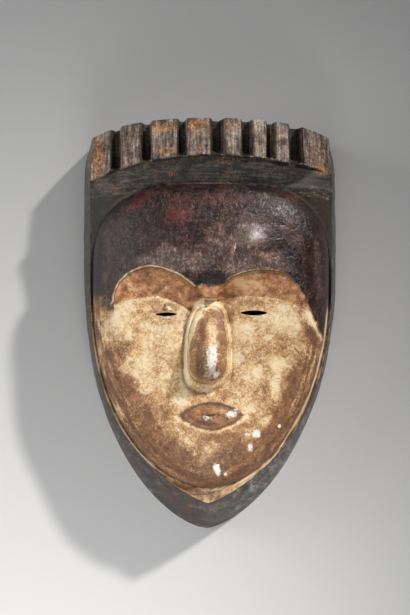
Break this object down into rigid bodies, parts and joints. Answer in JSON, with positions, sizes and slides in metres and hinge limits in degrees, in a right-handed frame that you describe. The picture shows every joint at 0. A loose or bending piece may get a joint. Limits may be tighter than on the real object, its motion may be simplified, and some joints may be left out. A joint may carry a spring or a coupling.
{
  "type": "carved wooden face mask",
  "caption": "Carved wooden face mask, an oval domed face under a notched crest, hollow behind, lying on its back rim with the face up.",
  "frame": {"origin": "centre of the flat back rim's box, on the surface that the rim lies on", "axes": "+X to the right of someone looking at the face, +Y from the chin to the crest, +Z out of the face"},
  "size_m": [0.2176, 0.336, 0.1083],
  "materials": {
    "carved_wood": "hand-carved wood with a worn pale clay face, a dark varnished forehead and blackened sides"
  },
  "bodies": {
    "root": {"carved_mask": "carved_wood"}
  },
  "joints": []
}
